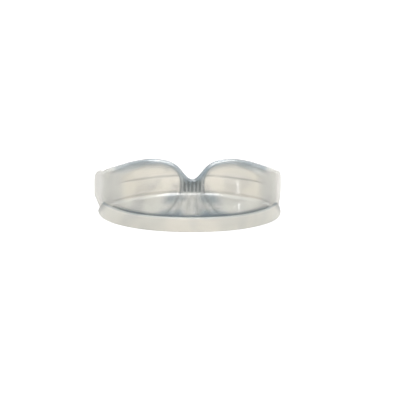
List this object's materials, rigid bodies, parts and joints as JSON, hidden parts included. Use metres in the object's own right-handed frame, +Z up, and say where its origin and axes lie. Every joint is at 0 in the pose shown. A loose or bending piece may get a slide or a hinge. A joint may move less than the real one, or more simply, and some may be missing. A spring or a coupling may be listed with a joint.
{
  "type": "mouthguard",
  "caption": "Clear single-arch mouthguard for the upper teeth, with a lip notch, twin windows each side, a front bumper band and a soft fitting channel.",
  "frame": {"origin": "on the underside, in the middle of the outline's width and depth", "axes": "+Z up, towards the gums; -Y towards the lips; X from molar to molar, the guard is symmetric about X = 0"},
  "size_m": [0.0652, 0.042, 0.0229],
  "materials": {
    "frame": "clear, slightly cool, glossy firm copolymer",
    "bumper": "hazy, satin copolymer",
    "liner": "clear, slightly warm, soft gel",
    "sole": "hazy, satin copolymer"
  },
  "bodies": {
    "root": {"outer_frame": "frame", "front_bumper": "bumper", "fit_liner": "liner", "bite_sole": "sole"}
  },
  "joints": []
}
